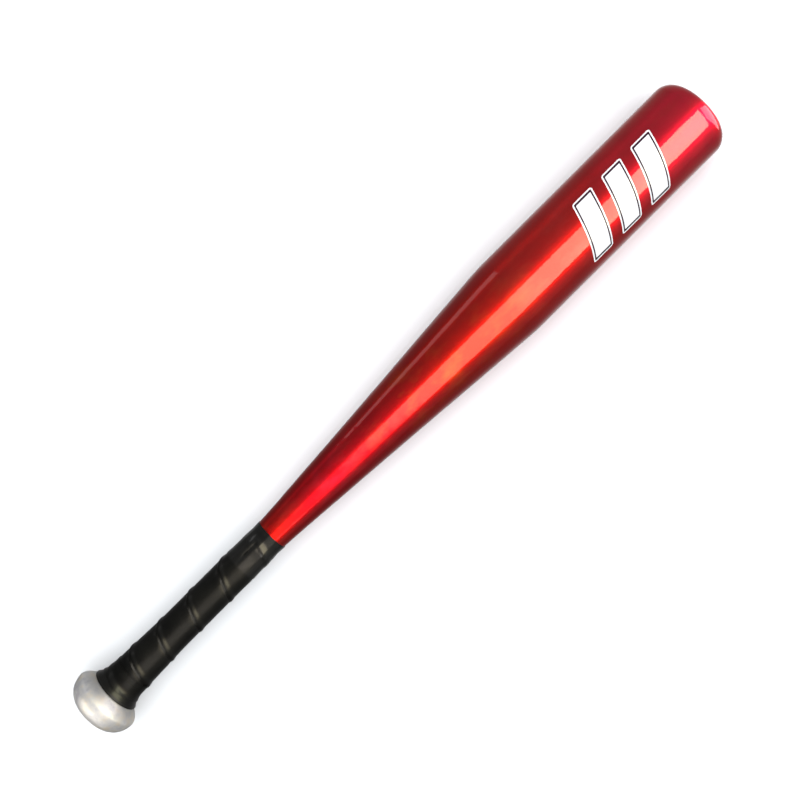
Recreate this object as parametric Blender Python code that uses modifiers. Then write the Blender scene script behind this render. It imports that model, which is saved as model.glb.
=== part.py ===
"""Twenty inch aluminium baseball bat, lying on its side.

World frame: the bat's axis runs along +X, from the knob to the barrel's end, one barrel radius above
the ground at z = 0. The origin is on the ground, half way along the bat.

Each turned piece is drawn in the bat's own frame first. There +Z is the bat's axis and its zero is half
way along, so a height above the knob's end face, called a station here, is moved by half the length.
"""

from math import cos, pi, radians, sin, tan

import bmesh
import bpy

MM = 0.001

# Overall size
BAT_LENGTH = 508 * MM
BARREL_RADIUS = 25.5 * MM
CLEARANCE = 0.3 * MM  # gap between pieces that touch

# Tube: barrel, taper and handle in one piece, closed down over the barrel's end
TAPER_ANGLE = radians(4.42)
TAPER_TOP = 348.4 * MM  # station where the taper's line meets the barrel
TAPER_BLEND = 0.5 * MM
HANDLE_RADIUS = 9.5 * MM
HANDLE_BLEND = 2.2 * MM
HANDLE_FLARE = 1.4 * MM
FLARE_START = 74 * MM
FLARE_END = 34 * MM
BARREL_WALL = 1.6 * MM
HANDLE_WALL = 2.2 * MM
TUBE_START = 30 * MM
END_ROUNDING = 9.9 * MM
END_THICKNESS = 4.0 * MM
RECESS_RADIUS = 10.2 * MM
RECESS_DEPTH = 2.0 * MM
PLUG_HOLE_RADIUS = 6.0 * MM

# Plug in the barrel's end
PLUG_HEAD_RADIUS = 9.6 * MM
PLUG_CROWN = 0.8 * MM
PLUG_LIP_RADIUS = 6.9 * MM
PLUG_LENGTH = 12 * MM
PLUG_TIP_RADIUS = 4.4 * MM

# Knob, cast with a spigot that goes into the tube
KNOB_RADIUS = 21.45 * MM
KNOB_RIM = 12.45 * MM  # station of the widest circle
KNOB_FACE_RADIUS = 9.95 * MM
KNOB_NECK_RADIUS = 14.5 * MM
KNOB_NECK = 20.6 * MM
KNOB_COLLAR_RADIUS = 11.0 * MM
KNOB_TOP = TUBE_START - CLEARANCE
SPIGOT_LENGTH = 16 * MM
SPIGOT_CHAMFER = 1.2 * MM

# Grip wrap and the two finishing tapes
GRIP_START = 24.6 * MM
GRIP_END = 134 * MM
GRIP_WALL = 1.4 * MM
GRIP_EDGE_WALL = 0.5 * MM
GRIP_FEATHER = 9 * MM  # length over which the wrap thins towards its upper edge
TAPE_WALL = 0.3 * MM
UPPER_TAPE_START = 124.5 * MM
UPPER_TAPE_END = 151.4 * MM
LOWER_TAPE_START = KNOB_NECK + CLEARANCE
LOWER_TAPE_END = 36.5 * MM

# Three slanted bars of thin film on the barrel
MARK_STATIONS = (458.5 * MM, 435 * MM, 411.5 * MM)
MARK_WIDTH = 15.5 * MM
MARK_HALF_ANGLE = radians(43)
MARK_MIDDLE_ANGLE = radians(14)  # from the top of the barrel towards -Y
MARK_SLANT = radians(19)
MARK_FILM = 0.12 * MM
MARK_GAP = 0.15 * MM

TURNED_STEPS = 48
PLUG_STEPS = 32
ARC_STEPS = 7


def clear_scene():
    for item in list(bpy.data.objects):
        bpy.data.objects.remove(item, do_unlink=True)


def new_collection(name):
    collection = bpy.data.collections.new(name)
    bpy.context.scene.collection.children.link(collection)
    return collection


def new_material(name, colour, roughness, metallic):
    material = bpy.data.materials.new(name)
    material.use_nodes = True
    shader = material.node_tree.nodes["Principled BSDF"]
    shader.inputs["Base Color"].default_value = (*colour, 1)
    shader.inputs["Roughness"].default_value = roughness
    shader.inputs["Metallic"].default_value = metallic
    return material


def smooth_step(value):
    value = min(max(value, 0), 1)
    return value * value * (3 - 2 * value)


def smooth_max(a, b, blend):
    """The larger of two radii, with a fillet where they are within blend of each other."""
    overlap = max(blend - abs(a - b), 0) / blend
    return max(a, b) + overlap * overlap * blend / 4


def smooth_min(a, b, blend):
    return -smooth_max(-a, -b, blend)


def arc(centre_radius, centre_station, radial, axial, start, end):
    """Points (radius, station) along an ellipse, from one angle to another, both ends included."""
    points = []
    for i in range(ARC_STEPS + 1):
        angle = start + (end - start) * i / ARC_STEPS
        points.append((centre_radius + radial * cos(angle), centre_station + axial * sin(angle)))
    return points


def stations(first, last, count):
    return [first + (last - first) * i / (count - 1) for i in range(count)]


def tube_radius(station):
    """Outer radius of the tube: barrel, straight taper, handle and the handle's flare above the knob."""
    line = BARREL_RADIUS + (station - TAPER_TOP) * tan(TAPER_ANGLE)
    radius = smooth_max(line, HANDLE_RADIUS, HANDLE_BLEND)
    radius = smooth_min(radius, BARREL_RADIUS, TAPER_BLEND)
    return radius + HANDLE_FLARE * smooth_step((FLARE_START - station) / (FLARE_START - FLARE_END))


def tube_wall(station):
    """Swaging the handle down thickens its wall."""
    share = (BARREL_RADIUS - tube_radius(station)) / (BARREL_RADIUS - HANDLE_RADIUS)
    return BARREL_WALL + (HANDLE_WALL - BARREL_WALL) * share


def knob_radius(station):
    """Outer radius of the knob from its rim up to the collar that the tube butts against."""
    if station < KNOB_NECK:
        share = (KNOB_NECK - station) / (KNOB_NECK - KNOB_RIM)
        return KNOB_NECK_RADIUS + (KNOB_RADIUS - KNOB_NECK_RADIUS) * sin(share * pi / 2) ** 1.36
    share = (station - KNOB_NECK) / (KNOB_TOP - KNOB_NECK)
    return KNOB_COLLAR_RADIUS + (KNOB_NECK_RADIUS - KNOB_COLLAR_RADIUS) * (1 - min(share, 1)) ** 2.4


def core_radius(station):
    """Bare metal under the grip: the knob's collar, then the tube."""
    if station < KNOB_TOP:
        return knob_radius(station)
    return max(tube_radius(station), KNOB_COLLAR_RADIUS if station < TUBE_START else 0)


def grip_radius(station):
    """Outside of the wrap, which thins over its last stretch below the barrel."""
    share = smooth_step((GRIP_END - station) / GRIP_FEATHER)
    wall = GRIP_EDGE_WALL + (GRIP_WALL - GRIP_EDGE_WALL) * share
    wall -= (GRIP_WALL - GRIP_EDGE_WALL) * smooth_step((LOWER_TAPE_END + 2 * MM - station) / (8 * MM))
    return core_radius(station) + CLEARANCE + wall


def turned(name, outline, steps, material, collection, parent):
    """A solid of revolution about the bat's axis, from a closed outline of (radius, station) points.

    The outline runs down the outer side and, where the piece is hollow, back up the inner side.
    """
    mesh = bpy.data.meshes.new(name)
    points = [(radius, 0, station - BAT_LENGTH / 2) for radius, station in outline]
    edges = [(i, i + 1) for i in range(len(points) - 1)]
    if min(radius for radius, _ in outline) > 0:
        edges.append((len(points) - 1, 0))
    mesh.from_pydata(points, edges, [])
    piece = bpy.data.objects.new(name, mesh)
    collection.objects.link(piece)
    piece.parent = parent
    screw = piece.modifiers.new("turn", "SCREW")
    screw.axis = "Z"
    screw.angle = 2 * pi
    screw.steps = steps
    screw.render_steps = steps
    screw.use_merge_vertices = True
    screw.merge_threshold = 0.00001
    screw.use_smooth_shade = True
    mesh.materials.append(material)
    return piece


def make_tube(collection, parent, material):
    end = BAT_LENGTH
    recess_floor = end - RECESS_DEPTH
    inner_floor = end - END_THICKNESS
    shoulder = BARREL_RADIUS - END_ROUNDING
    outline = [
        (PLUG_HOLE_RADIUS, recess_floor),
        (RECESS_RADIUS, recess_floor),
        (RECESS_RADIUS + 0.3 * MM, end),
    ]
    outline += arc(shoulder, end - END_ROUNDING, END_ROUNDING, END_ROUNDING, pi / 2, 0)
    outline.append((BARREL_RADIUS, (end + TAPER_TOP) / 2))
    outer = stations(TAPER_TOP + 7 * MM, TAPER_TOP - 7 * MM, 4)
    outer += stations(TAPER_TOP - 60 * MM, 190 * MM, 3)
    outer += stations(172 * MM, 118 * MM, 6)
    outer += stations(FLARE_START, TUBE_START, 5)
    outline += [(tube_radius(station), station) for station in outer]
    inner = stations(TUBE_START, FLARE_START, 4)
    inner += stations(118 * MM, 172 * MM, 4)
    inner += stations(TAPER_TOP - 7 * MM, TAPER_TOP + 7 * MM, 3)
    outline += [(tube_radius(station) - tube_wall(station), station) for station in inner]
    inner_radius = BARREL_RADIUS - BARREL_WALL
    inner_rounding = inner_radius - shoulder
    outline += arc(shoulder, inner_floor - inner_rounding, inner_rounding, inner_rounding, 0, pi / 2)
    outline.append((PLUG_HOLE_RADIUS, inner_floor))
    return turned("bat_tube", outline, TURNED_STEPS, material, collection, parent)


def make_plug(collection, parent, material):
    """Push-in plug: a head in the recess, a stem through the hole and a lip that holds behind it."""
    head_bottom = BAT_LENGTH - RECESS_DEPTH + CLEARANCE
    head_top = BAT_LENGTH - 0.1 * MM
    stem = PLUG_HOLE_RADIUS - CLEARANCE
    lip_top = BAT_LENGTH - END_THICKNESS - CLEARANCE
    tip = BAT_LENGTH - PLUG_LENGTH
    outline = [(0, head_top)]
    for share in (0.45, 0.8, 1):
        radius = (PLUG_HEAD_RADIUS - 0.2 * MM) * share
        outline.append((radius, head_top - PLUG_CROWN * share * share))
    outline += [
        (PLUG_HEAD_RADIUS, head_top - PLUG_CROWN - 0.2 * MM),
        (PLUG_HEAD_RADIUS, head_bottom),
        (stem, head_bottom),
        (stem, lip_top),
        (PLUG_LIP_RADIUS, lip_top),
        (PLUG_LIP_RADIUS, lip_top - 1.2 * MM),
        (PLUG_TIP_RADIUS, tip),
        (0, tip),
    ]
    return turned("barrel_end_plug", outline, PLUG_STEPS, material, collection, parent)


def make_knob(collection, parent, material):
    spigot = tube_radius(TUBE_START) - tube_wall(TUBE_START) - CLEARANCE
    spigot_top = KNOB_TOP + SPIGOT_LENGTH
    spigot_end = tube_radius(spigot_top) - tube_wall(spigot_top) - CLEARANCE
    spigot = min(spigot, spigot_end)
    outline = [
        (0, spigot_top),
        (spigot - SPIGOT_CHAMFER, spigot_top),
        (spigot, spigot_top - SPIGOT_CHAMFER),
        (spigot, KNOB_TOP),
        (KNOB_COLLAR_RADIUS, KNOB_TOP),
    ]
    outline += [(knob_radius(station), station) for station in stations(KNOB_TOP - 2 * MM, KNOB_NECK, 5)]
    outline += [(knob_radius(station), station) for station in stations(KNOB_NECK - 1 * MM, KNOB_RIM, 6)]
    lower = arc(KNOB_FACE_RADIUS, KNOB_RIM, KNOB_RADIUS - KNOB_FACE_RADIUS, KNOB_RIM, 0, -pi / 2)
    outline += lower[1:]
    outline.append((0, 0))
    return turned("knob", outline, TURNED_STEPS, material, collection, parent)


def make_grip(collection, parent, material):
    def inner(station):
        return core_radius(station) + CLEARANCE

    low = stations(GRIP_START, LOWER_TAPE_END + 2 * MM, 6)
    middle = stations(47 * MM, FLARE_START, 4)
    high = stations(GRIP_END - GRIP_FEATHER, GRIP_END, 4)
    along = low + middle + high
    outline = [(grip_radius(station), station) for station in reversed(along)]
    outline += [(inner(station), station) for station in along]
    return turned("grip_wrap", outline, TURNED_STEPS, material, collection, parent)


def over_grip(station):
    """Surface that the finishing tapes lie on, with the fitting gap added."""
    if GRIP_START <= station <= GRIP_END + CLEARANCE:
        return grip_radius(min(station, GRIP_END)) + CLEARANCE
    return core_radius(station) + CLEARANCE


def make_tape(name, along, collection, parent, material):
    """A band of tape that follows what it lies on, through the listed stations."""
    outline = [(over_grip(station) + TAPE_WALL, station) for station in reversed(along)]
    outline += [(over_grip(station), station) for station in along]
    return turned(name, outline, TURNED_STEPS, material, collection, parent)


def make_upper_tape(collection, parent, material):
    along = stations(UPPER_TAPE_START, GRIP_END + CLEARANCE, 5)
    along += stations(GRIP_END + 3 * MM, UPPER_TAPE_END, 5)
    return make_tape("upper_finishing_tape", along, collection, parent, material)


def make_lower_tape(collection, parent, material):
    along = stations(LOWER_TAPE_START, GRIP_START - CLEARANCE, 3)
    along += stations(GRIP_START, LOWER_TAPE_END, 6)
    return make_tape("lower_finishing_tape", along, collection, parent, material)


def make_mark(index, station, collection, parent, material):
    """A slanted bar of film, bent round the barrel. Its grid runs along the bat and round it."""
    name = f"barrel_mark_{index}"
    mesh = bpy.data.meshes.new(name)
    grid = bmesh.new()
    bmesh.ops.create_grid(grid, x_segments=3, y_segments=18, size=1)
    surface = BARREL_RADIUS + MARK_GAP
    for vertex in grid.verts:
        along, around = vertex.co.x, vertex.co.y
        angle = MARK_MIDDLE_ANGLE + around * MARK_HALF_ANGLE
        shift = around * MARK_HALF_ANGLE * BARREL_RADIUS * tan(MARK_SLANT)
        vertex.co.x = -surface * cos(angle)
        vertex.co.y = -surface * sin(angle)
        vertex.co.z = station - BAT_LENGTH / 2 + along * MARK_WIDTH / 2 - shift
    bmesh.ops.reverse_faces(grid, faces=grid.faces)
    for face in grid.faces:
        face.smooth = True
    grid.to_mesh(mesh)
    grid.free()
    piece = bpy.data.objects.new(name, mesh)
    collection.objects.link(piece)
    piece.parent = parent
    film = piece.modifiers.new("film", "SOLIDIFY")
    film.thickness = MARK_FILM
    film.offset = 1
    mesh.materials.append(material)
    return piece


def main():
    clear_scene()
    bat = new_collection("baseball_bat")
    axis = bpy.data.objects.new("bat_axis", None)
    axis.location = (0, 0, BARREL_RADIUS)
    axis.rotation_euler = (0, pi / 2, 0)
    bat.objects.link(axis)

    red = new_material("red_anodised", (0.50, 0.012, 0.016), 0.28, 0.9)
    silver = new_material("bare_aluminium", (0.74, 0.72, 0.69), 0.35, 1.0)
    leatherette = new_material("black_leatherette", (0.018, 0.017, 0.017), 0.55, 0.0)
    vinyl = new_material("black_vinyl", (0.010, 0.010, 0.011), 0.22, 0.0)
    rubber = new_material("black_rubber", (0.025, 0.025, 0.026), 0.6, 0.0)
    film = new_material("white_film", (0.86, 0.85, 0.84), 0.3, 0.0)

    make_tube(bat, axis, red)
    make_plug(bat, axis, rubber)
    make_knob(bat, axis, silver)
    make_grip(bat, axis, leatherette)
    make_upper_tape(bat, axis, vinyl)
    make_lower_tape(bat, axis, vinyl)
    for index, station in enumerate(MARK_STATIONS, start=1):
        make_mark(index, station, bat, axis, film)


main()
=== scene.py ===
"""Looks of the short aluminium baseball bat: fine surfaces, the wound grip, marks, materials and light.

Every visible piece is drawn in the bat's own frame: a station runs along the axis from the knob's face,
and an angle runs round it from the top of the lying bat towards -Y, in radians.
"""

from math import cos, pi, radians, sin, sqrt, tan

import bmesh
import bpy
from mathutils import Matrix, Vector, noise


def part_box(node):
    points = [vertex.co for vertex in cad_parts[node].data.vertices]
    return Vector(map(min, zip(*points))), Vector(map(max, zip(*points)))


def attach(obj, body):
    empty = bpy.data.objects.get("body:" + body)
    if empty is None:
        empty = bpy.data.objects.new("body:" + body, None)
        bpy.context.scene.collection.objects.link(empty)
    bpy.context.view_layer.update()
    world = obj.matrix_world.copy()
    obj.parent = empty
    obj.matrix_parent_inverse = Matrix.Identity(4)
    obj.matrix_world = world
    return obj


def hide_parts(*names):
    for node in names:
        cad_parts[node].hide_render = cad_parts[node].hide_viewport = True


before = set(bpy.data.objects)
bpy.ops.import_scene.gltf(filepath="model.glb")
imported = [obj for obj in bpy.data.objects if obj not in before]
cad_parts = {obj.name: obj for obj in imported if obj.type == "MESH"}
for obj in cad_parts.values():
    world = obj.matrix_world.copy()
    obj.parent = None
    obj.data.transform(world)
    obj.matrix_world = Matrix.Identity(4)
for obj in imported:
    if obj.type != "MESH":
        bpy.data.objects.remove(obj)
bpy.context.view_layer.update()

MM = 0.001
BODY = "root"

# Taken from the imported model
tube_low, tube_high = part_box("bat_tube")
knob_low, knob_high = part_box("knob")
KNOB_FACE = knob_low.x
LENGTH = tube_high.x - KNOB_FACE
BARREL_RADIUS = (tube_high.z - tube_low.z) / 2
KNOB_RADIUS = (knob_high.z - knob_low.z) / 2
AXIS_CENTRE = Vector(((tube_high.x + KNOB_FACE) / 2, 0, (tube_high.z + tube_low.z) / 2))

# Tube. It follows the CAD solid, with a slimmer flare above the knob and a slight hollow in the taper
TAPER_ANGLE = radians(4.42)
TAPER_TOP = 348.4 * MM
TAPER_BLEND = 0.5 * MM
TAPER_HOLLOW = 0.22 * MM
HOLLOW_PLACE = 240 * MM
HOLLOW_REACH = 45 * MM
HANDLE_RADIUS = 9.5 * MM
HANDLE_BLEND = 2.2 * MM
HANDLE_FLARE = 1.0 * MM
FLARE_START = 74 * MM
FLARE_END = 34 * MM
TUBE_START = tube_low.x - KNOB_FACE
WALL = 1.6 * MM  # the barrel's, used all along the inside, which isn't seen
WAVINESS = 0.02 * MM
WAVE_SIZE = 28 * MM

# The tube's closed end, with a recess and a hole for the plug
END_ROUNDING = 9.9 * MM
END_THICKNESS = 4.0 * MM
RECESS_RADIUS = 10.2 * MM
RECESS_DEPTH = 2.0 * MM
RECESS_FOOT = 0.4 * MM
RECESS_LIP = 0.6 * MM
PLUG_HOLE_RADIUS = 6.0 * MM

# Rings of the tube's outside and inside, closest at the taper's top: first station, last station, count
OUTER_RINGS = [
    (LENGTH - END_ROUNDING - 2 * MM, TAPER_TOP + 12 * MM, 60),
    (TAPER_TOP + 11 * MM, TAPER_TOP - 12 * MM, 40),
    (TAPER_TOP - 14 * MM, 180 * MM, 70),
    (178 * MM, TUBE_START, 70),
]
INNER_RINGS = [(TUBE_START, LENGTH - END_THICKNESS - 8 * MM, 60)]

# Knob. It follows the CAD solid, with a slimmer collar under the tape and a spigot inside the tube
KNOB_RIM = 12.45 * MM
KNOB_FACE_RADIUS = 9.95 * MM
KNOB_NECK_RADIUS = 14.5 * MM
KNOB_NECK = 20.6 * MM
KNOB_COLLAR_RADIUS = 10.6 * MM
KNOB_TOP = TUBE_START - 0.3 * MM
KNOB_SHOULDER_CURVE = 1.36
KNOB_COLLAR_CURVE = 2.4
KNOB_RINGS = [(KNOB_TOP - 0.5 * MM, KNOB_NECK, 24), (KNOB_NECK - 0.4 * MM, KNOB_RIM, 28)]
SPIGOT_INSET = 3.2 * MM
SPIGOT_LENGTH = 14 * MM
SPIGOT_CHAMFER = 1.2 * MM

# Dents of the cast knob: size, depth, place in the noise. They fade out towards the neck and the face
KNOB_DENTS = [(9 * MM, 0.20 * MM, 0), (3.5 * MM, 0.08 * MM, 7)]
DENT_NECK_FADE = 4 * MM
DENT_FACE_FADE = 3 * MM

# Plug
PLUG_GAP = 0.1 * MM
PLUG_HEAD_RADIUS = 9.6 * MM
PLUG_CROWN = 0.8 * MM
PLUG_EDGE = 0.4 * MM
PLUG_HOLE_GAP = 0.2 * MM
PLUG_LIP_RADIUS = 6.9 * MM
PLUG_LIP_WIDTH = 1.2 * MM
PLUG_TIP_RADIUS = 4.4 * MM
PLUG_LENGTH = 12 * MM

# Grip strip. Its seam is its knob-side edge, which lies over the far edge of the turn before it. These
# are the stations where the seam crosses the top line of the lying bat, turn by turn. STRIP_EDGE is the
# wall near the seam, and also how far the strip is lifted where it laps. The lift ends over STRIP_RAMP.
# EDGE_STEP is the share of that wall with which the rounded edge starts
SEAM_STATIONS = [
    5 * MM, 21.5 * MM, 39 * MM, 60.3 * MM, 85.3 * MM, 110.7 * MM, 141.5 * MM, 172 * MM,
]
FIRST_TURN = -2
STRIP_FIRST = -1.75
STRIP_LAST = 3.72
STRIP_STEPS = 120  # sections in a turn
STRIP_LAP = 2.6 * MM
STRIP_WALL = 1.1 * MM
STRIP_EDGE = 0.5 * MM
STRIP_RAMP = 2.8 * MM
EDGE_SLOPE = 2.2 * MM
EDGE_ROUNDING = 0.45 * MM
EDGE_STEP = 0.35
FAR_EDGE_SLOPE = 4 * MM
STRIP_BED = 0.35 * MM
COLLAR_REACH = 2 * MM
WRAP_LOW = 24.5 * MM
WRAP_HIGH = 136 * MM
PUCKER = 0.06 * MM
PUCKER_SIZE = 7 * MM

# The strip gets thinner towards the upper tape, down to these shares of its lift and its wall
THINNING_END = WRAP_HIGH + 2 * MM
THINNING_LENGTH = 18 * MM
THIN_LIFT = 0.55
THIN_WALL = 0.35

# Points across the strip, closest at its seam and at its far edge
STRIP_SHARES = [
    0, 0.003, 0.008, 0.014, 0.022, 0.032, 0.045, 0.06, 0.078, 0.096, 0.114, 0.132, 0.15, 0.17, 0.19,
    0.21, 0.235, 0.27, 0.32, 0.4, 0.48, 0.56, 0.64, 0.72, 0.8, 0.87, 0.93, 0.97, 0.99, 1,
]

# Upper tape, with a crease and a fold along it: height, angle round the bat, width
TAPE_WALL = 0.18 * MM
UPPER_TAPE_LOW = 125.0 * MM
UPPER_TAPE_HIGH = 151.4 * MM
UPPER_STEP_END = 147 * MM
UPPER_STEP_LENGTH = 9 * MM
UPPER_BRIDGE = 0.6 * MM
UPPER_OVER_TUBE = 0.12 * MM
UPPER_OVER_WRAP = 0.05 * MM
UPPER_CREASES = [(-0.45 * MM, radians(-16), radians(4.5)), (0.18 * MM, radians(-29), radians(6))]
CREASE_LOW_FADE = 10 * MM
CREASE_END = 144.5 * MM
CREASE_HIGH_FADE = 4 * MM
UPPER_FOLDS = 0.05 * MM
UPPER_FOLD_SIZE = 5 * MM
UPPER_STREAKS = 0.09 * MM
STREAK_LENGTH = 16 * MM
STREAKS_ROUND = 5

# Lower tape. It flares over the knob's shoulder, further than the CAD solid does, and has a groove just
# above its edge
LOWER_TAPE_LOW = 20.2 * MM
LOWER_TAPE_HIGH = 36 * MM
LOWER_TAPE_RADIUS = 12.0 * MM
LOWER_TAPE_RIM = 15.6 * MM
LOWER_FLARE_START = 30 * MM
LOWER_FLARE = 9.3 * MM
LOWER_FLARE_CURVE = 2.2
LOWER_BRIDGE = 1 * MM
LOWER_OVER_WRAP = 0.04 * MM
LOWER_BLEND = 0.8 * MM
GROOVE_DEPTH = 0.22 * MM
GROOVE_PLACE = LOWER_TAPE_LOW + 1.2 * MM
GROOVE_WIDTH = 0.5 * MM
LOWER_FOLDS = 0.07 * MM
LOWER_FOLD_SIZE = 6 * MM

# Marks: slanted bars, white with a thin dark line inside a white border
MARK_STATIONS = (458.5 * MM, 435 * MM, 411.5 * MM)
MARK_WIDTH = 15.5 * MM
MARK_HALF_ANGLE = radians(41.5)
MARK_MIDDLE_ANGLE = radians(13)
MARK_SLANT = radians(19)
MARK_CORNER = 1.6 * MM
LEAST_CORNER = 0.4 * MM
LEAST_REACH = 0.02 * MM
BORDER = 0.95 * MM
LINE_SIDE = 1.0 * MM
LINE_END = 1.4 * MM

# Layers of a bar: inset at its sides, inset at its ends, lower and upper height, material
MARK_LAYERS = [
    (0, 0, 0.01 * MM, 0.05 * MM, 0),
    (BORDER, BORDER, 0.055 * MM, 0.08 * MM, 1),
    (BORDER + LINE_SIDE, BORDER + LINE_END, 0.085 * MM, 0.11 * MM, 0),
]

# Painted shade: the knob's aluminium is darker beside the tape, from one station to the other, which
# dims the bright reflection on the knob's slope there
KNOB_SHADE_FROM = 13.5 * MM
KNOB_SHADE_TO = 18.5 * MM
KNOB_PAINTED_SHADE = 0.62

# Camera straight above the bat, shifted from its middle and turned as in the photo
CAMERA_SHIFT = (7.3 * MM, 2.7 * MM)
CAMERA_DISTANCE = 683.3 * MM
CAMERA_LENS = 51.75
CAMERA_SENSOR = 36
CAMERA_CLIP = 0.01
CAMERA_TURN = radians(-44.93)

FLOOR_SIZE = 20

# Softbox that only shows in gloss, over the bat and towards -Y. Its grades run along the bat: x,
# radiance, colour
SOFTBOX_HEIGHT = 1.0
SOFTBOX_NEAR = -0.02
SOFTBOX_FAR = -1.26
SOFTBOX_GRADES = [
    (-0.85, 2.3, (1.0, 0.95, 0.88)),
    (-0.60, 2.1, (1.0, 0.95, 0.88)),
    (-0.48, 0.8, (1.0, 0.90, 0.92)),
    (-0.43, 0.15, (1.0, 0.86, 0.95)),
    (-0.29, 0.18, (1.0, 0.86, 0.95)),
    (-0.24, 0.8, (1.0, 0.86, 0.90)),
    (-0.16, 3.4, (1.0, 0.86, 0.66)),
    (-0.06, 4.2, (1.0, 0.87, 0.58)),
    (0.10, 4.8, (1.0, 0.88, 0.60)),
    (0.36, 6.6, (1.0, 0.90, 0.64)),
    (0.55, 9.4, (1.0, 1.0, 0.66)),
    (0.85, 9.4, (1.0, 1.0, 0.68)),
]

# Other lights that only show in gloss: name, location, size, radiance, colour
REFLECTED_LIGHTS = [
    ("window", (1.30, -0.42, 0.33), (0.80, 1.40), 4.5, (1.0, 0.93, 0.95)),
    ("knob_light", (-1.40, 0.10, 0.55), (1.40, 0.90), 3.8, (1.0, 0.94, 0.82)),
    ("horizon_strip", (0.00, 1.17, 0.31), (0.47, 0.28), 1.0, (1.0, 1.0, 1.0)),
    ("side_fill", (0.10, -1.75, 0.45), (2.20, 0.90), 0.12, (1.0, 1.0, 1.0)),
]
AIM_REACH = 0.2  # how far from the bat's middle these lights may be aimed, along the bat

# Overhead light that only reaches matt surfaces, so the floor is evenly pale and its shadows are faint
FILL_HEIGHT = 3.0
FILL_SIZE = 4.0
FILL_RADIANCE = 4.0
FILL_COLOUR = (0.94, 0.97, 1.0)

# Brightness of the surroundings: height of the direction from -1 (straight down) to 1, radiance
SURROUNDINGS = [(-1.0, 0.70), (-0.6, 0.24), (0.0, 0.20), (0.5, 0.25), (1.0, 0.27)]
# They are darker beyond the knob and lighter beyond the barrel: direction along the bat, factor
DARKER_END = (-0.4, 0.3)
LIGHTER_END = (0.45, 1.6)
# Plain grey that shows above the floor
BACKDROP = (0.27, 0.27, 0.28, 1)

WOBBLE_RADIUS = 12 * MM  # radius at which the noise of wobble() keeps its size round the bat


def clamp(value, low=0.0, high=1.0):
    return min(max(value, low), high)


def smooth_step(value):
    value = clamp(value)
    return value * value * (3 - 2 * value)


def mix(a, b, share):
    return a + (b - a) * share


def smooth_max(a, b, blend):
    overlap = max(blend - abs(a - b), 0) / blend
    return max(a, b) + overlap * overlap * blend / 4


def smooth_min(a, b, blend):
    return -smooth_max(-a, -b, blend)


def bulge(distance, width):
    """A soft hump, 1 in its middle and a half at that width from it."""
    return 2 ** -((distance / width) ** 2)


def spread(first, last, count):
    return [first + (last - first) * i / (count - 1) for i in range(count)]


def arc(centre_station, centre_radius, axial, radial, start, end, steps):
    """Outline points along an ellipse, from one angle to another."""
    points = []
    for angle in spread(start, end, steps + 1):
        points.append((centre_station + axial * sin(angle), centre_radius + radial * cos(angle)))
    return points


def rings(runs, radius_at):
    """Outline points over runs of stations."""
    return [(station, radius_at(station)) for run in runs for station in spread(*run)]


def local_point(station, angle, radius):
    """A point in the frame of the pieces' objects, which sit half way along the bat's axis."""
    return Vector((station - LENGTH / 2, -radius * sin(angle), radius * cos(angle)))


def wobble(station, angle, size, seed):
    """Smooth noise over the bat's surface, from -1 to 1, with features of about that size."""
    around = WOBBLE_RADIUS / size
    return noise.noise(Vector((station / size, around * sin(angle), around * cos(angle) + seed)))


def add_object(name, data):
    item = bpy.data.objects.new(name, data)
    bpy.context.scene.collection.objects.link(item)
    return item


def new_piece(name, mesh, *materials):
    piece = add_object(name, mesh)
    piece.location = AXIS_CENTRE
    for material in materials:
        mesh.materials.append(material)
    return piece


def show_as(piece, node):
    """The piece moves with the bat and stands for its CAD node, which is hidden."""
    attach(piece, BODY)
    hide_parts(node)


def finish_mesh(name, shape, sharp_angle=50):
    bmesh.ops.recalc_face_normals(shape, faces=shape.faces)
    mesh = bpy.data.meshes.new(name)
    shape.to_mesh(mesh)
    shape.free()
    mesh.shade_smooth()
    mesh.set_sharp_from_angle(angle=radians(sharp_angle))
    return mesh


def lathe(name, outline, segments, swell=None, closed=False):
    """A turned mesh from (station, radius) points. swell(station, angle, radius) adds to the radius."""
    shape = bmesh.new()
    circles = []
    for station, radius in outline:
        if radius <= 0:
            circles.append([shape.verts.new(local_point(station, 0, 0))])
            continue
        circle = []
        for k in range(segments):
            angle = 2 * pi * k / segments
            extra = swell(station, angle, radius) if swell else 0
            circle.append(shape.verts.new(local_point(station, angle, radius + extra)))
        circles.append(circle)
    pairs = list(zip(circles, circles[1:]))
    if closed:
        pairs.append((circles[-1], circles[0]))
    for one, two in pairs:
        for k in range(segments):
            k2 = (k + 1) % segments
            corners = [one[k % len(one)], one[k2 % len(one)], two[k2 % len(two)], two[k % len(two)]]
            unique = list(dict.fromkeys(corners))
            if len(unique) > 2:
                shape.faces.new(unique)
    return finish_mesh(name, shape)


def tube_radius(station):
    line = BARREL_RADIUS + (station - TAPER_TOP) * tan(TAPER_ANGLE)
    radius = smooth_max(line, HANDLE_RADIUS, HANDLE_BLEND)
    radius = smooth_min(radius, BARREL_RADIUS, TAPER_BLEND)
    radius -= TAPER_HOLLOW * bulge(station - HOLLOW_PLACE, HOLLOW_REACH)
    return radius + HANDLE_FLARE * smooth_step((FLARE_START - station) / (FLARE_START - FLARE_END))


def knob_radius(station):
    """Outer radius of the knob from its rim up to the collar that the tube butts against."""
    if station < KNOB_NECK:
        share = (KNOB_NECK - station) / (KNOB_NECK - KNOB_RIM)
        swelling = sin(share * pi / 2) ** KNOB_SHOULDER_CURVE
        return mix(KNOB_NECK_RADIUS, KNOB_RADIUS, swelling)
    share = clamp((station - KNOB_NECK) / (KNOB_TOP - KNOB_NECK))
    return mix(KNOB_COLLAR_RADIUS, KNOB_NECK_RADIUS, (1 - share) ** KNOB_COLLAR_CURVE)


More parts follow.
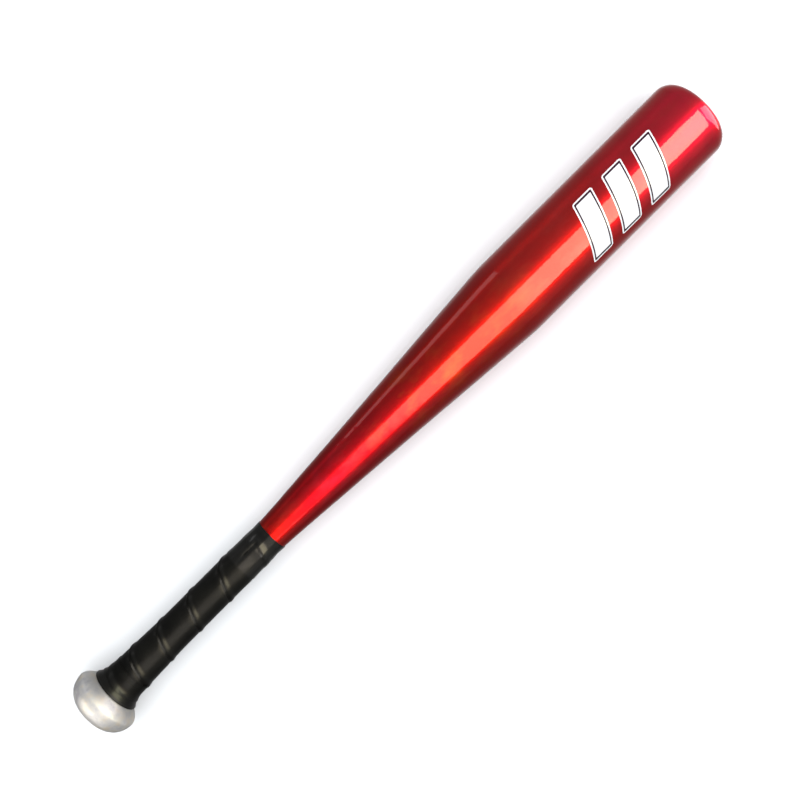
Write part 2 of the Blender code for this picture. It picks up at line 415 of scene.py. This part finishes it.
def set_stops(node, stops):
    """Fills a colour ramp with stops, which are (position, colour) pairs."""
    elements = node.color_ramp.elements
    while len(elements) < len(stops):
        elements.new(1)
    for element, (position, colour) in zip(elements, stops):
        element.position = position
        element.color = (*colour, 1)


class Nodes:
    """Short names for building a material's node tree."""

    def __init__(self, name):
        self.material = bpy.data.materials.new(name)
        self.material.use_nodes = True
        self.tree = self.material.node_tree
        self.shader = self.tree.nodes["Principled BSDF"]
        self.coordinates = self.tree.nodes.new("ShaderNodeTexCoord").outputs["Object"]

    def set(self, **values):
        for key, value in values.items():
            self.shader.inputs[key.replace("_", " ")].default_value = value

    def link(self, value, socket):
        self.tree.links.new(value, self.shader.inputs[socket])

    def node(self, kind, inputs, **settings):
        node = self.tree.nodes.new(kind)
        for key, value in settings.items():
            setattr(node, key, value)
        for key, value in inputs.items():
            if isinstance(value, bpy.types.NodeSocket):
                self.tree.links.new(value, node.inputs[key])
            else:
                node.inputs[key].default_value = value
        return node

    def place(self):
        """Distance along the bat from its middle."""
        return self.node("ShaderNodeSeparateXYZ", {"Vector": self.coordinates}).outputs["X"]

    def noise(self, scale, detail, roughness=0.5):
        """Noise with that many features in a metre, the same or different along each axis."""
        axes = scale if isinstance(scale, tuple) else (scale, scale, scale)
        scaled = self.node("ShaderNodeMapping", {"Vector": self.coordinates, "Scale": axes})
        inputs = {
            "Vector": scaled.outputs["Vector"],
            "Scale": 1.0,
            "Detail": detail,
            "Roughness": roughness,
        }
        return self.node("ShaderNodeTexNoise", inputs).outputs["Fac"]

    def ramp(self, value, stops):
        node = self.node("ShaderNodeValToRGB", {"Fac": value})
        set_stops(node, stops)
        return node.outputs["Color"]

    def blend(self, first, second, share, kind="MIX"):
        """Colour mix. share is a number or a socket."""
        node = self.node("ShaderNodeMix", {}, data_type="RGBA", blend_type=kind)
        if isinstance(share, bpy.types.NodeSocket):
            self.tree.links.new(share, node.inputs[0])
        else:
            node.inputs[0].default_value = share
        self.tree.links.new(first, node.inputs[6])
        self.tree.links.new(second, node.inputs[7])
        return node.outputs[2]

    def remap(self, value, low, high, new_low, new_high):
        inputs = {
            "Value": value,
            "From Min": low,
            "From Max": high,
            "To Min": new_low,
            "To Max": new_high,
        }
        return self.node("ShaderNodeMapRange", inputs).outputs["Result"]

    def bump(self, height, distance, strength=1.0, normal=None):
        inputs = {"Height": height, "Distance": distance, "Strength": strength}
        if normal:
            inputs["Normal"] = normal
        return self.node("ShaderNodeBump", inputs).outputs["Normal"]


def red_anodised():
    """A red-dyed, brushed tube under a clear coat. Its colour along the bat is partly its own and
    partly painted light: it turns between orange and crimson where the highlight does, and is lighter
    towards the barrel end.
    """
    n = Nodes("red_anodised")
    n.set(Metallic=1.0, Anisotropic=0.75, Anisotropic_Rotation=0.25)
    n.set(Specular_Tint=(0.3, 0.03, 0.03, 1))
    n.set(Coat_Weight=1.0, Coat_Roughness=0.045, Coat_IOR=1.45)
    along = n.remap(n.place(), -LENGTH / 2, LENGTH / 2, 0.0, 1.0)
    # Painted light along the bat: lighter towards the barrel end, with shifts of hue that stand in for
    # the highlight's colour
    dye_and_painted_light = n.ramp(along, [
        (0.30, (0.74, 0.010, 0.006)),
        (0.36, (0.74, 0.003, 0.012)),
        (0.46, (0.74, 0.004, 0.014)),
        (0.58, (0.74, 0.012, 0.005)),
        (0.80, (0.84, 0.012, 0.010)),
        (0.97, (0.95, 0.008, 0.046)),
    ])
    # Orange and crimson tints along the bat, also a painted tint of the highlight, shown in random
    # patches
    warm_dye_and_painted_tint = n.ramp(along, [
        (0.25, (0.80, 0.060, 0.006)),
        (0.40, (0.78, 0.012, 0.045)),
        (0.52, (0.80, 0.085, 0.010)),
        (0.66, (0.78, 0.050, 0.010)),
        (0.85, (0.90, 0.020, 0.038)),
    ])
    patches = n.noise((45, 90, 90), 3.0, 0.6)
    dye_and_painted_light = n.blend(dye_and_painted_light, warm_dye_and_painted_tint, n.remap(patches, 0.45, 0.75, 0.0, 0.8))
    mottle = n.noise(60, 3.0)
    n.link(n.blend(dye_and_painted_light, n.remap(mottle, 0.3, 0.7, 0.9, 1.05), 1, "MULTIPLY"), "Base Color")
    brushing = n.noise((2600, 60, 60), 2.0)
    coarse = n.noise((420, 25, 25), 2.0)
    n.link(n.remap(brushing, 0.3, 0.7, 0.41, 0.48), "Roughness")
    fine_normal = n.bump(brushing, 0.02 * MM, 0.15)
    n.link(n.bump(coarse, 0.05 * MM, 0.08, fine_normal), "Normal")
    ripples = n.noise((120, 80, 80), 3.0)
    n.link(n.bump(ripples, 0.12 * MM), "Coat Normal")
    tangent = n.node("ShaderNodeTangent", {}, direction_type="RADIAL", axis="X")
    n.link(tangent.outputs["Tangent"], "Tangent")
    return n.material


def bare_aluminium():
    """Dull cast metal, blotched and pitted, with painted shade beside the tape."""
    n = Nodes("bare_aluminium")
    n.set(Metallic=0.65)
    patches = n.noise(120, 4.0, 0.6)
    grain = n.noise(1500, 2.0)
    colour = n.ramp(patches, [
        (0.32, (0.44, 0.425, 0.45)),
        (0.43, (0.53, 0.525, 0.54)),
        (0.54, (0.60, 0.585, 0.57)),
        (0.66, (0.66, 0.60, 0.52)),
    ])
    # Painted shade: darker towards the tape, dimming the highlight on the knob's slope
    painted_shade = n.remap(
        n.place(), KNOB_SHADE_FROM - LENGTH / 2, KNOB_SHADE_TO - LENGTH / 2, 1.0, KNOB_PAINTED_SHADE)
    n.link(n.blend(colour, painted_shade, 1, "MULTIPLY"), "Base Color")
    n.link(n.remap(patches, 0.3, 0.7, 0.56, 0.42), "Roughness")
    dents = n.bump(patches, 0.5 * MM, 0.6)
    n.link(n.bump(grain, 0.03 * MM, 0.4, dents), "Normal")
    return n.material


def leatherette():
    """Black grip strip with a pebbled grain."""
    n = Nodes("black_leatherette")
    n.set(IOR=1.40)
    mottle = n.noise(90, 4.0)
    black = n.ramp(mottle, [(0.3, (0.0008, 0.0008, 0.0006)), (0.7, (0.0018, 0.0018, 0.0013))])
    n.link(black, "Base Color")
    n.link(n.remap(mottle, 0.3, 0.7, 0.32, 0.39), "Roughness")
    cells = {"Vector": n.coordinates, "Scale": 1900.0}
    pebble = n.node("ShaderNodeTexVoronoi", cells, feature="F1").outputs["Distance"]
    soft = n.bump(n.noise(500, 3.0), 0.15 * MM, 0.35)
    n.link(n.bump(pebble, 0.05 * MM, 0.35, soft), "Normal")
    return n.material


def vinyl(name, coat, gloss):
    n = Nodes(name)
    n.set(Coat_Weight=coat, Coat_Roughness=0.1, IOR=1.4, Specular_IOR_Level=gloss)
    mottle = n.noise(120, 3.0)
    black = n.ramp(mottle, [(0.3, (0.0008, 0.0008, 0.0006)), (0.7, (0.0018, 0.0018, 0.0014))])
    n.link(black, "Base Color")
    n.link(n.remap(mottle, 0.3, 0.7, 0.34, 0.44), "Roughness")
    ripples = n.noise((220, 160, 160), 2.0)
    n.link(n.bump(ripples, 0.2 * MM, 0.25), "Normal")
    return n.material


def rubber():
    n = Nodes("black_rubber")
    mottle = n.noise(300, 4.0)
    black = n.ramp(mottle, [(0.3, (0.018, 0.018, 0.019)), (0.7, (0.032, 0.032, 0.033))])
    n.link(black, "Base Color")
    n.link(n.remap(mottle, 0.3, 0.7, 0.5, 0.65), "Roughness")
    n.link(n.bump(n.noise(2500, 2.0), 0.04 * MM, 0.4), "Normal")
    return n.material


def film(name, dark, light, coat, gloss):
    """Thin printed film of one colour, between its darker and its lighter shade."""
    n = Nodes(name)
    n.set(Coat_Weight=coat, Coat_Roughness=0.06, Specular_IOR_Level=gloss)
    mottle = n.noise(250, 3.0)
    n.link(n.ramp(mottle, [(0.3, dark), (0.7, light)]), "Base Color")
    n.link(n.remap(mottle, 0.3, 0.7, 0.32, 0.42), "Roughness")
    n.link(n.bump(n.noise(900, 2.0), 0.02 * MM, 0.3), "Normal")
    return n.material


def pale_floor():
    n = Nodes("pale_floor")
    mottle = n.noise(2, 2.0)
    n.link(n.ramp(mottle, [(0.3, (0.79, 0.79, 0.79)), (0.7, (0.82, 0.82, 0.82))]), "Base Color")
    n.set(Roughness=0.8, Specular_IOR_Level=0.0)
    return n.material


def make_tube(material):
    """Hollow tube with the slight waviness of a swaged one, so that long reflections aren't ruled."""
    recess = LENGTH - RECESS_DEPTH
    recess_wall = RECESS_RADIUS - RECESS_FOOT
    shoulder = BARREL_RADIUS - END_ROUNDING
    inner_rounding = BARREL_RADIUS - WALL - shoulder
    inner_end = LENGTH - END_THICKNESS
    outline = [(recess, PLUG_HOLE_RADIUS), (recess, recess_wall)]
    outline += arc(recess + RECESS_FOOT, recess_wall, RECESS_FOOT, RECESS_FOOT, -pi / 2, 0, 4)
    outline += arc(
        LENGTH - RECESS_LIP, RECESS_RADIUS + RECESS_LIP, RECESS_LIP, -RECESS_LIP, 0, pi / 2, 5)
    outline += arc(LENGTH - END_ROUNDING, shoulder, END_ROUNDING, END_ROUNDING, pi / 2, 0, 28)
    outline += rings(OUTER_RINGS, tube_radius)
    outline += rings(INNER_RINGS, lambda station: tube_radius(station) - WALL)
    outline += arc(
        inner_end - inner_rounding, shoulder, inner_rounding, inner_rounding, 0, pi / 2, 10)
    outline.append((inner_end, PLUG_HOLE_RADIUS))

    def waviness(station, angle, radius):
        return WAVINESS * (wobble(station, angle, WAVE_SIZE, seed=3) - 1)

    mesh = lathe("tube_surface", outline, 192, waviness, closed=True)
    show_as(new_piece("tube_surface", mesh, material), "bat_tube")


def make_knob(material):
    """Cast knob with shallow dents, and a spigot that reaches into the tube."""
    spigot = tube_radius(TUBE_START) - SPIGOT_INSET
    top = KNOB_TOP + SPIGOT_LENGTH
    outline = [(top, 0), (top, spigot - SPIGOT_CHAMFER), (top - SPIGOT_CHAMFER, spigot)]
    outline += [(KNOB_TOP, spigot), (KNOB_TOP, KNOB_COLLAR_RADIUS)]
    outline += rings(KNOB_RINGS, knob_radius)
    lower = arc(
        KNOB_RIM, KNOB_FACE_RADIUS, KNOB_RIM, KNOB_RADIUS - KNOB_FACE_RADIUS, 0, -pi / 2, 36)
    outline += lower[1:]
    outline += [(0, radius) for radius in spread(KNOB_FACE_RADIUS - 1 * MM, 1 * MM, 8)]
    outline.append((0, 0))

    def dents(station, angle, radius):
        if station > KNOB_NECK:
            return 0
        fade = smooth_step((KNOB_NECK - station) / DENT_NECK_FADE)
        fade *= smooth_step(station / DENT_FACE_FADE)
        spot = local_point(station, angle, radius)
        depth = 0
        for size, deepest, place in KNOB_DENTS:
            depth += deepest * (noise.noise(spot / size + Vector((place, 0, 0))) + 0.5)
        return -fade * depth

    mesh = lathe("knob_surface", outline, 160, dents)
    show_as(new_piece("knob_surface", mesh, material), "knob")


def make_plug(material):
    """Push-in plug: a domed head in the recess, a stem through the hole and a lip that holds it."""
    head_top = LENGTH - PLUG_GAP
    head_bottom = LENGTH - RECESS_DEPTH + PLUG_GAP
    dome = PLUG_HEAD_RADIUS - PLUG_EDGE
    stem = PLUG_HOLE_RADIUS - PLUG_HOLE_GAP
    lip_top = LENGTH - END_THICKNESS - PLUG_HOLE_GAP
    tip = LENGTH - PLUG_LENGTH
    outline = [(head_top, 0)]
    outline += [(head_top - PLUG_CROWN * share ** 2, dome * share) for share in spread(0.08, 1, 12)]
    outline += arc(head_top - PLUG_CROWN - PLUG_EDGE, dome, PLUG_EDGE, PLUG_EDGE, pi / 3, 0, 4)
    outline += [(head_bottom, PLUG_HEAD_RADIUS), (head_bottom, stem), (lip_top, stem)]
    outline += [(lip_top, PLUG_LIP_RADIUS), (lip_top - PLUG_LIP_WIDTH, PLUG_LIP_RADIUS)]
    outline += [(tip, PLUG_TIP_RADIUS), (tip, 0)]
    mesh = lathe("plug_surface", outline, 96)
    show_as(new_piece("plug_surface", mesh, material), "barrel_end_plug")


def seam(turn):
    """Station of the seam after that many turns, through the listed stations on a smooth curve."""
    position = clamp(turn - FIRST_TURN, 0, len(SEAM_STATIONS) - 1.001)
    i = int(position)
    share = position - i
    last = len(SEAM_STATIONS) - 1
    p0, p1, p2, p3 = (SEAM_STATIONS[clamp(i + k, 0, last)] for k in (-1, 0, 1, 2))
    slope1, slope2 = (p2 - p0) / 2, (p3 - p1) / 2
    a = 2 * p1 - 2 * p2 + slope1 + slope2
    b = -3 * p1 + 3 * p2 - 2 * slope1 - slope2
    return ((a * share + b) * share + slope1) * share + p1


def wrap_core(station):
    """What the strip lies on: the knob's neck, then the tube."""
    bare = knob_radius(station) if station < KNOB_TOP else tube_radius(station)
    collar = KNOB_COLLAR_RADIUS if station < KNOB_TOP + COLLAR_REACH else 0
    return max(bare, collar) + STRIP_BED


def strip_height(across, station):
    """Lift of the strip over the turn below, and its own wall, at a distance from its seam."""
    thinning = smooth_step((THINNING_END - station) / THINNING_LENGTH)
    lapped = 1 - smooth_step((across - STRIP_LAP) / STRIP_RAMP)
    raised = STRIP_EDGE * lapped * mix(THIN_LIFT, 1, thinning)
    wall = mix(STRIP_EDGE, STRIP_WALL, smooth_step(across / EDGE_SLOPE))
    edge = clamp(across / EDGE_ROUNDING)
    rounded = mix(EDGE_STEP, 1, sqrt(1 - (1 - edge) ** 2))
    return raised, wall * rounded * mix(THIN_WALL, 1, thinning)


def strip_section(turn):
    """Closed section of the strip at one place on its helix: (station, radius) points."""
    edge_low = seam(turn)
    edge_high = seam(turn + 1) + STRIP_LAP
    low = max(edge_low, WRAP_LOW)
    high = min(edge_high, WRAP_HIGH)
    top = []
    under = []
    for share in STRIP_SHARES:
        station = mix(low, high, share)
        raised, wall = strip_height(station - edge_low, station)
        from_far_edge = smooth_step((edge_high - station) / FAR_EDGE_SLOPE)
        wall = mix(min(wall, STRIP_EDGE), wall, from_far_edge)
        base = wrap_core(station) + raised
        top.append((station, base + wall))
        under.append((station, base))
    return top + under[::-1]


def wrap_outside(station, angle):
    """Radius of the finished wrap at a place on the handle."""
    turn = -angle / (2 * pi) + FIRST_TURN
    while seam(turn + 1) <= station:
        turn += 1
    raised, wall = strip_height(station - seam(turn), station)
    return wrap_core(station) + raised + wall


def bridged_wrap(station, angle, reach):
    """Radius of the wrap under tape, which bridges its steps by that reach to both sides."""
    return max(wrap_outside(station + shift, angle) for shift in (-reach, 0, reach))


def make_wrap(material):
    """A strip wound on with a lap, over the tube from the knob's neck up to the upper tape."""
    count = int((STRIP_LAST - STRIP_FIRST) * STRIP_STEPS)
    shape = bmesh.new()
    sections = []
    for turn in spread(STRIP_FIRST, STRIP_LAST, count + 1):
        angle = -2 * pi * turn
        section = []
        for station, radius in strip_section(turn):
            pucker = PUCKER * wobble(station, angle, PUCKER_SIZE, seed=11)
            section.append(shape.verts.new(local_point(station, angle, radius + pucker)))
        sections.append(section)
    size = len(sections[0])
    for one, two in zip(sections, sections[1:]):
        for k in range(size):
            k2 = (k + 1) % size
            shape.faces.new((one[k], one[k2], two[k2], two[k]))
    shape.faces.new(sections[0])
    shape.faces.new(sections[-1])
    piece = new_piece("grip_strip", finish_mesh("grip_strip", shape, 70), material)
    show_as(piece, "grip_wrap")


def make_sleeve(name, stations, outer, segments, material, node):
    """A thin sleeve of tape. outer(station, angle) is the radius of its outside."""
    shape = bmesh.new()
    rows = []
    outside = [(station, 0) for station in stations]
    inside = [(station, TAPE_WALL) for station in reversed(stations)]
    for station, depth in outside + inside:
        row = []
        for k in range(segments):
            angle = 2 * pi * k / segments
            radius = outer(station, angle) - depth
            row.append(shape.verts.new(local_point(station, angle, radius)))
        rows.append(row)
    for one, two in zip(rows, rows[1:] + rows[:1]):
        for k in range(segments):
            k2 = (k + 1) % segments
            shape.faces.new((one[k], one[k2], two[k2], two[k]))
    piece = new_piece(name, finish_mesh(name, shape, 60), material)
    show_as(piece, node)


def make_upper_tape(material):
    """Tape over the wrap's upper edge. It shows the seam below it, and is creased along the bat."""
    def outer(station, angle):
        over_wrap = smooth_step((UPPER_STEP_END - station) / UPPER_STEP_LENGTH)
        wrapped = bridged_wrap(station, angle, UPPER_BRIDGE) + UPPER_OVER_WRAP
        radius = mix(tube_radius(station) + UPPER_OVER_TUBE, wrapped, over_wrap) + TAPE_WALL
        radius += UPPER_FOLDS * wobble(station, angle, UPPER_FOLD_SIZE, seed=21)
        along = smooth_step((station - UPPER_TAPE_LOW) / CREASE_LOW_FADE)
        along *= smooth_step((CREASE_END - station) / CREASE_HIGH_FADE)
        for height, crease_angle, width in UPPER_CREASES:
            turned = (angle - crease_angle + pi) % (2 * pi) - pi
            radius += height * along * bulge(turned, width)
        around = (STREAKS_ROUND * sin(angle), STREAKS_ROUND * cos(angle))
        return radius + UPPER_STREAKS * noise.noise(Vector((station / STREAK_LENGTH, *around)))

    stations = spread(UPPER_TAPE_LOW, UPPER_TAPE_HIGH, 90)
    make_sleeve("upper_tape", stations, outer, 180, material, "upper_finishing_tape")


def make_lower_tape(material):
    """Tape drawn down over the wrap's end on to the knob's shoulder, with a groove above its edge."""
    def outer(station, angle):
        flare = clamp((LOWER_FLARE_START - station) / LOWER_FLARE) ** LOWER_FLARE_CURVE
        radius = mix(LOWER_TAPE_RADIUS, LOWER_TAPE_RIM, flare)
        if station > WRAP_LOW:
            wrapped = bridged_wrap(station, angle, LOWER_BRIDGE) + TAPE_WALL + LOWER_OVER_WRAP
            radius = smooth_max(radius, wrapped, LOWER_BLEND)
        radius -= GROOVE_DEPTH * bulge(station - GROOVE_PLACE, GROOVE_WIDTH)
        return radius + LOWER_FOLDS * wobble(station, angle, LOWER_FOLD_SIZE, seed=31)

    stations = spread(LOWER_TAPE_LOW, LOWER_TAPE_HIGH, 70)
    make_sleeve("lower_tape", stations, outer, 144, material, "lower_finishing_tape")


def add_bar(shape, station, side_inset, end_inset, bottom, top, material_index):
    """One layer of a bar: a slanted rounded plate bent round the barrel, between two heights."""
    half_width = MARK_WIDTH / 2 - side_inset
    half_length = MARK_HALF_ANGLE * BARREL_RADIUS - end_inset
    corner = max(MARK_CORNER - side_inset, LEAST_CORNER)
    straight = half_length - corner
    ends = [half_length - corner * (1 - sin(t)) for t in spread(0, pi / 2, 7)]
    middle = spread(-straight, straight, 40)
    rows = []
    for around in [-value for value in reversed(ends)] + middle[1:-1] + ends:
        over = max(abs(around) - straight, 0)
        cut = corner - sqrt(max(corner ** 2 - over ** 2, 0))
        reach = max(half_width - cut, LEAST_REACH)
        angle = MARK_MIDDLE_ANGLE + around / BARREL_RADIUS
        row = []
        for height, shares in ((top, spread(-1, 1, 5)), (bottom, (1, -1))):
            for share in shares:
                place = station + share * reach - around * tan(MARK_SLANT)
                row.append(shape.verts.new(local_point(place, angle, BARREL_RADIUS + height)))
        rows.append(row)
    size = len(rows[0])
    for one, two in zip(rows, rows[1:]):
        for k in range(size):
            k2 = (k + 1) % size
            face = shape.faces.new((one[k], one[k2], two[k2], two[k]))
            face.material_index = material_index
    for row in (rows[0], rows[-1]):
        shape.faces.new(row).material_index = material_index


def make_marks(white, dark):
    for index, station in enumerate(MARK_STATIONS, start=1):
        shape = bmesh.new()
        for layer in MARK_LAYERS:
            add_bar(shape, station, *layer)
        name = f"mark_{index}"
        piece = new_piece(name, finish_mesh(name, shape), white, dark)
        show_as(piece, f"barrel_mark_{index}")


def make_camera():
    camera = bpy.data.cameras.new("camera")
    camera.lens = CAMERA_LENS
    camera.sensor_width = CAMERA_SENSOR
    camera.clip_start = CAMERA_CLIP
    item = add_object("camera", camera)
    item.location = (*CAMERA_SHIFT, AXIS_CENTRE.z + CAMERA_DISTANCE)
    item.rotation_euler = (0, 0, CAMERA_TURN)
    bpy.context.scene.camera = item


def make_floor():
    """Pale ground for the camera and for matt surfaces. The bat's gloss doesn't show it."""
    shape = bmesh.new()
    bmesh.ops.create_grid(shape, x_segments=1, y_segments=1, size=FLOOR_SIZE)
    mesh = bpy.data.meshes.new("floor")
    shape.to_mesh(mesh)
    shape.free()
    mesh.materials.append(pale_floor())
    floor = add_object("floor", mesh)
    floor.visible_glossy = False


def make_world():
    """Studio gradient for reflections and light, with a plain backdrop where the camera sees it."""
    world = bpy.data.worlds.new("studio")
    world.use_nodes = True
    nodes, links = world.node_tree.nodes, world.node_tree.links
    background = nodes["Background"]
    parts = nodes.new("ShaderNodeSeparateXYZ")
    links.new(nodes.new("ShaderNodeTexCoord").outputs["Generated"], parts.inputs[0])

    lift = nodes.new("ShaderNodeMapRange")
    lift.inputs["From Min"].default_value = -1
    links.new(parts.outputs["Z"], lift.inputs["Value"])
    ramp = nodes.new("ShaderNodeValToRGB")
    set_stops(ramp, [((height + 1) / 2, (shade, shade, shade)) for height, shade in SURROUNDINGS])
    links.new(lift.outputs["Result"], ramp.inputs["Fac"])
    links.new(ramp.outputs["Color"], background.inputs["Color"])

    strength = nodes.new("ShaderNodeMapRange")
    for (place, factor), side in ((DARKER_END, "Min"), (LIGHTER_END, "Max")):
        strength.inputs["From " + side].default_value = place
        strength.inputs["To " + side].default_value = factor
    links.new(parts.outputs["X"], strength.inputs["Value"])
    links.new(strength.outputs["Result"], background.inputs["Strength"])

    backdrop = nodes.new("ShaderNodeBackground")
    backdrop.inputs["Color"].default_value = BACKDROP
    seen = nodes.new("ShaderNodeMixShader")
    links.new(nodes.new("ShaderNodeLightPath").outputs["Is Camera Ray"], seen.inputs[0])
    links.new(background.outputs[0], seen.inputs[1])
    links.new(backdrop.outputs[0], seen.inputs[2])
    links.new(seen.outputs[0], nodes["World Output"].inputs["Surface"])
    bpy.context.scene.world = world
    bpy.context.scene.view_settings.view_transform = "Standard"


def area_light(name, location, target, size, radiance, colour=(1, 1, 1)):
    width, height = size
    light = bpy.data.lights.new(name, "AREA")
    light.shape = "RECTANGLE"
    light.size = width
    light.size_y = height
    light.energy = radiance * pi * width * height
    light.color = colour
    item = add_object(name, light)
    item.location = location
    direction = Vector(target) - Vector(location)
    item.rotation_euler = direction.to_track_quat("-Z", "Y").to_euler()
    return item


def grade_light(light):
    """The light's radiance and colour follow the softbox's grades along its length."""
    light.use_nodes = True
    nodes, links = light.node_tree.nodes, light.node_tree.links
    along = nodes.new("ShaderNodeSeparateXYZ")
    links.new(nodes.new("ShaderNodeNewGeometry").outputs["Parametric"], along.inputs[0])
    ramp = nodes.new("ShaderNodeValToRGB")
    links.new(along.outputs["X"], ramp.inputs["Fac"])
    low_x, high_x = SOFTBOX_GRADES[0][0], SOFTBOX_GRADES[-1][0]
    brightest = max(radiance for _, radiance, _ in SOFTBOX_GRADES)
    stops = []
    for x, radiance, colour in SOFTBOX_GRADES:
        shade = tuple(part * radiance / brightest for part in colour)
        stops.append(((x - low_x) / (high_x - low_x), shade))
    set_stops(ramp, stops)
    emission = nodes["Emission"]
    links.new(ramp.outputs["Color"], emission.inputs["Color"])
    emission.inputs["Strength"].default_value = brightest


def make_lights():
    low_x, high_x = SOFTBOX_GRADES[0][0], SOFTBOX_GRADES[-1][0]
    centre_x, centre_y = (low_x + high_x) / 2, (SOFTBOX_NEAR + SOFTBOX_FAR) / 2
    size = (high_x - low_x, SOFTBOX_NEAR - SOFTBOX_FAR)
    above, below = (centre_x, centre_y, SOFTBOX_HEIGHT), (centre_x, centre_y, 0)
    softbox = area_light("softbox", above, below, size, 1)
    softbox.visible_diffuse = False
    grade_light(softbox.data)
    fill = area_light(
        "fill", (0, 0, FILL_HEIGHT), (0, 0, 0), (FILL_SIZE, FILL_SIZE), FILL_RADIANCE, FILL_COLOUR)
    fill.visible_glossy = False
    for name, location, size, radiance, colour in REFLECTED_LIGHTS:
        aim = (clamp(location[0], -AIM_REACH, AIM_REACH), 0, location[2])
        area_light(name, location, aim, size, radiance, colour).visible_diffuse = False


def main():
    make_tube(red_anodised())
    make_knob(bare_aluminium())
    make_plug(rubber())
    make_wrap(leatherette())
    make_upper_tape(vinyl("black_vinyl", 0.7, 0.5))
    make_lower_tape(vinyl("dull_black_vinyl", 0.1, 0.35))
    white = film("white_film", (0.80, 0.80, 0.81), (0.86, 0.86, 0.87), 1.0, 0.5)
    dark = film("dark_film", (0.022, 0.005, 0.013), (0.034, 0.008, 0.020), 0.05, 0.2)
    make_marks(white, dark)
    make_camera()
    make_floor()
    make_world()
    make_lights()


main()
